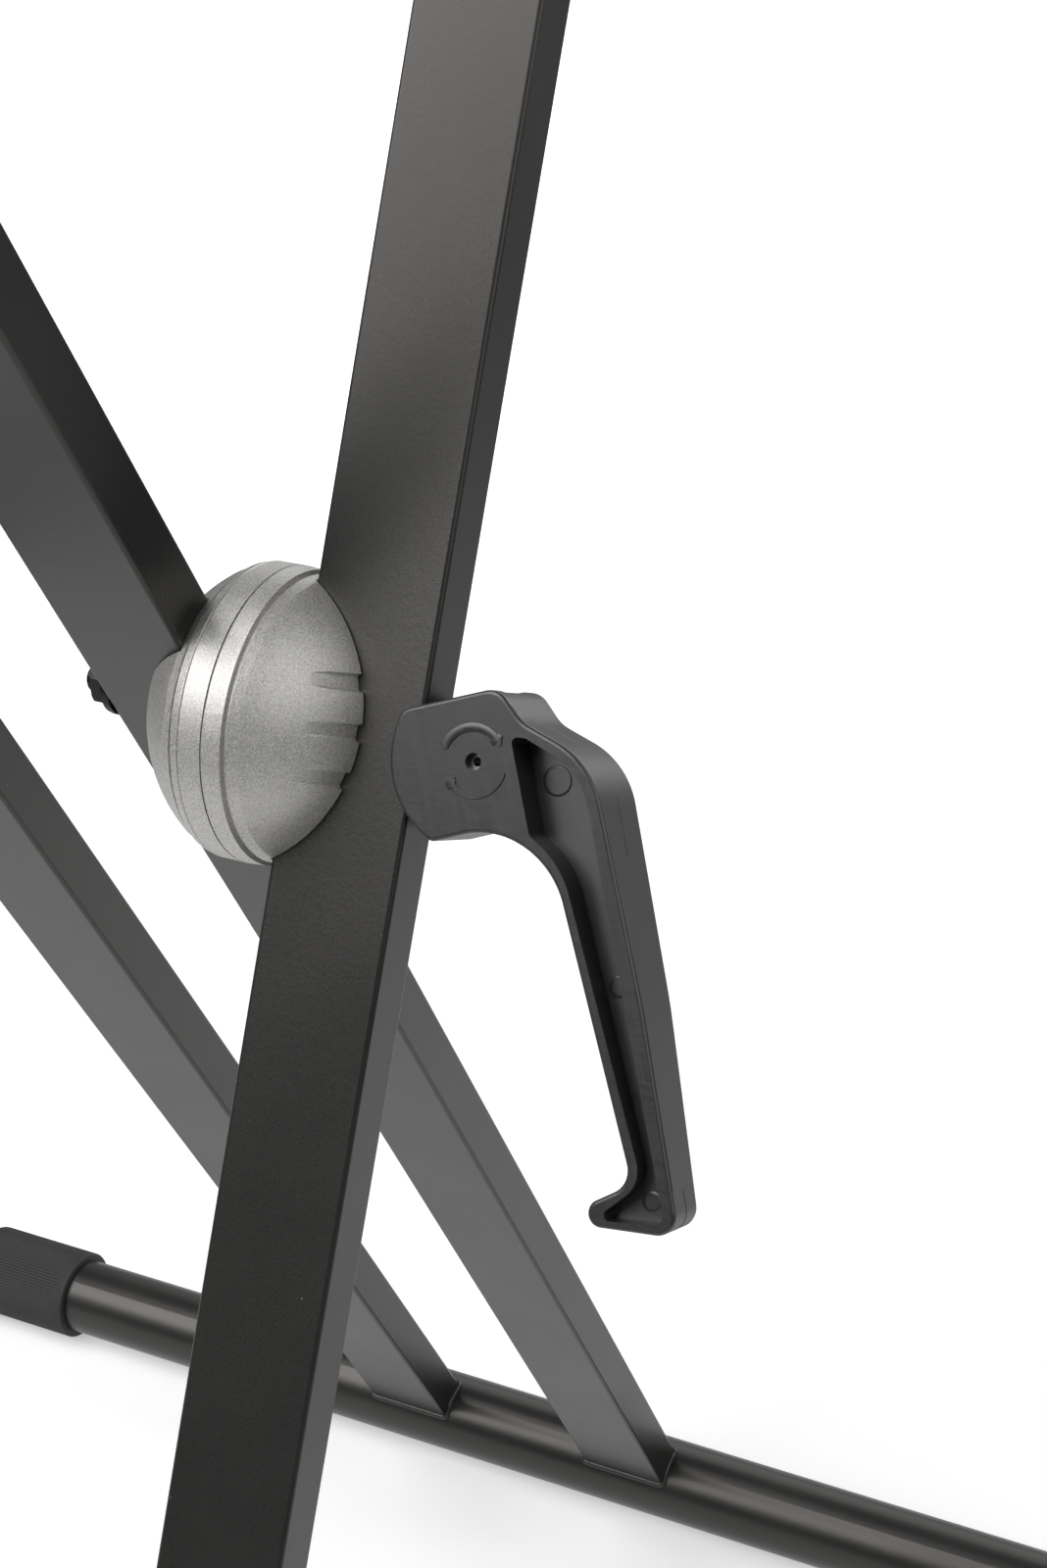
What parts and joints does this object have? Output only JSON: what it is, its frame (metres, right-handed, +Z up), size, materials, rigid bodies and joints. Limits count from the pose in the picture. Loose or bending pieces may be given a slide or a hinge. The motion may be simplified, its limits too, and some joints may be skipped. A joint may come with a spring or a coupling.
{
  "type": "folding keyboard stand",
  "caption": "Folding X-frame keyboard stand: crossed rectangular steel legs, round end tubes with rubber caps, and a domed friction hub clamped by a cam lever.",
  "frame": {"origin": "on the floor under the middle of the standing stand, halfway between the front and rear caps and between the feet", "axes": "+Z up, Y along the hinge axis with the clamp lever at the front, -Y, and X across the crossed legs"},
  "size_m": [0.4798, 0.4806, 0.8813],
  "materials": {
    "powder_coat": "satin powder coat with a fine orange peel",
    "cap_rubber": "matte, finely ribbed along its length",
    "hub_casting": "fine metallic silver paint on cast aluminium",
    "clutch_steel": "plain turned steel",
    "lever_plastic": "moulded black nylon, finely textured",
    "spacer_plastic": "moulded black plastic",
    "spring_steel": "bright spring steel",
    "plain_steel": "zinc plated",
    "black_steel": "black oxide"
  },
  "bodies": {
    "outer_frame": {"outer_leg_front": "powder_coat", "outer_leg_rear": "powder_coat", "outer_leg_sleeves": "plain_steel", "outer_foot_tube": "powder_coat", "outer_top_tube": "powder_coat", "outer_foot_cap_front": "cap_rubber", "outer_foot_cap_rear": "cap_rubber", "outer_top_cap_front": "cap_rubber", "outer_top_cap_rear": "cap_rubber", "front_hub_shell": "hub_casting", "front_clutch_plate": "clutch_steel", "release_springs": "spring_steel", "cam_pad": "plain_steel", "outer_pivot_spacer": "spacer_plastic", "pivot_friction_washer": "spacer_plastic", "pivot_bolt": "black_steel", "pivot_nut": "black_steel", "pivot_washers": "black_steel"},
    "inner_frame": {"inner_leg_front": "powder_coat", "inner_leg_rear": "powder_coat", "inner_leg_sleeves": "plain_steel", "inner_foot_tube": "powder_coat", "inner_top_tube": "powder_coat", "inner_foot_cap_front": "cap_rubber", "inner_foot_cap_rear": "cap_rubber", "inner_top_cap_front": "cap_rubber", "inner_top_cap_rear": "cap_rubber", "rear_hub_shell": "hub_casting", "rear_clutch_plate": "clutch_steel", "centre_ring": "hub_casting", "inner_pivot_spacer": "spacer_plastic"},
    "clamp_rod": {"pull_rod": "black_steel", "rod_washer": "black_steel", "rod_nut": "black_steel"},
    "lever": {"cam_lever": "lever_plastic", "lever_pin": "plain_steel"}
  },
  "joints": [
    {"name": "frame_fold", "type": "hinge", "parent": "outer_frame", "child": "inner_frame", "pos_m": [0, -0.0663, 0.44067], "axis": [0, -1, 0], "range_deg": [-51.4, 120.3]},
    {"name": "rod_travel", "type": "slide", "parent": "outer_frame", "child": "clamp_rod", "axis": [0, 1, 0], "range_m": [0, 0.0012]},
    {"name": "lever_swing", "type": "hinge", "parent": "clamp_rod", "child": "lever", "pos_m": [-0.00037, -0.11909, 0.43997], "axis": [-0.8849, 0, 0.4658], "range_deg": [0, 70]}
  ],
  "couplings": [
    {"joint": "rod_travel", "follows": "lever_swing", "m_per_rad": 0.000982}
  ]
}
